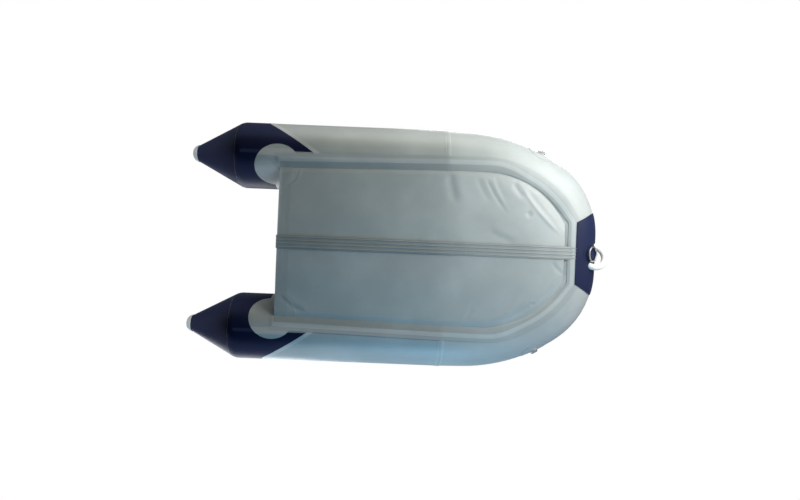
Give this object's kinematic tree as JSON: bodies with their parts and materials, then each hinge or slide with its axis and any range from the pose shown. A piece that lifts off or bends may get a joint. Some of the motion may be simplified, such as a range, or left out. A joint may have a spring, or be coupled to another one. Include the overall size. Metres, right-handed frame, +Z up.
{
  "type": "inflatable boat",
  "caption": "Inflatable dinghy with tapered stern cones, plywood transom, air floor, ribbed keel strip, bench seat and stowed oars on rowlocks.",
  "frame": {"origin": "bottom centre of the boat's box, on the floor it is parked on", "axes": "+X to the bow, +Y to port, +Z up"},
  "size_m": [2.7043, 1.5312, 0.527],
  "materials": {
    "grey_fabric": "satin",
    "navy_fabric": "satin",
    "cap_moulding": "moulded",
    "bottom_fabric": "satin",
    "keel_rubber": "ribbed",
    "floor_fabric": "textured",
    "transom_wood": "painted",
    "fitting_plastic": "moulded",
    "pad_plastic": "moulded",
    "bench_wood": "varnished",
    "patch_fabric": "satin",
    "strake_rubber": "ribbed",
    "rowlock_rubber": "moulded",
    "oar_alloy": "anodised",
    "grip_rubber": "ribbed",
    "blade_plastic": "moulded",
    "handle_rubber": "moulded",
    "ring_steel": "polished",
    "valve_plastic": "moulded",
    "white_moulding": "moulded"
  },
  "bodies": {
    "hull": {"air_floor": "floor_fabric", "bench_seat": "bench_wood", "bottom_skin": "bottom_fabric", "bow_air_valve": "valve_plastic", "bow_strake": "strake_rubber", "bow_tube": "grey_fabric", "drain_cap": "fitting_plastic", "drain_socket": "fitting_plastic", "floor_air_valve": "valve_plastic", "inner_motor_pad": "pad_plastic", "keel_strip": "keel_rubber", "outer_motor_pad": "pad_plastic", "port_air_valve": "valve_plastic", "port_cone_cap": "cap_moulding", "port_lift_handle": "handle_rubber", "port_oar_rest": "rowlock_rubber", "port_rowlock_base": "rowlock_rubber", "port_seat_cleat": "patch_fabric", "port_side_patch": "patch_fabric", "port_side_ring": "ring_steel", "port_stern_cone": "navy_fabric", "port_strake": "strake_rubber", "port_tube": "grey_fabric", "starboard_air_valve": "valve_plastic", "starboard_cone_cap": "cap_moulding", "starboard_lift_handle": "handle_rubber", "starboard_oar_rest": "rowlock_rubber", "starboard_rowlock_base": "rowlock_rubber", "starboard_seat_cleat": "patch_fabric", "starboard_side_patch": "patch_fabric", "starboard_side_ring": "ring_steel", "starboard_stern_cone": "navy_fabric", "starboard_strake": "strake_rubber", "starboard_tube": "grey_fabric", "tow_handle": "white_moulding", "tow_patch": "navy_fabric", "tow_ring": "ring_steel", "transom": "transom_wood"},
    "port_oar": {"port_oar_blade": "blade_plastic", "port_oar_collar": "fitting_plastic", "port_oar_grip": "grip_rubber", "port_oar_shaft": "oar_alloy"},
    "starboard_oar": {"starboard_oar_blade": "blade_plastic", "starboard_oar_collar": "fitting_plastic", "starboard_oar_grip": "grip_rubber", "starboard_oar_shaft": "oar_alloy"}
  },
  "joints": [
    {"name": "port_oar_swing", "type": "hinge", "parent": "hull", "child": "port_oar", "pos_m": [-0.087, 0.62182, 0.40734], "axis": [0, -0.342, -0.9397], "range_deg": [0, 120]},
    {"name": "starboard_oar_swing", "type": "hinge", "parent": "hull", "child": "starboard_oar", "pos_m": [-0.087, -0.62182, 0.40734], "axis": [0, -0.342, 0.9397], "range_deg": [0, 120]}
  ]
}
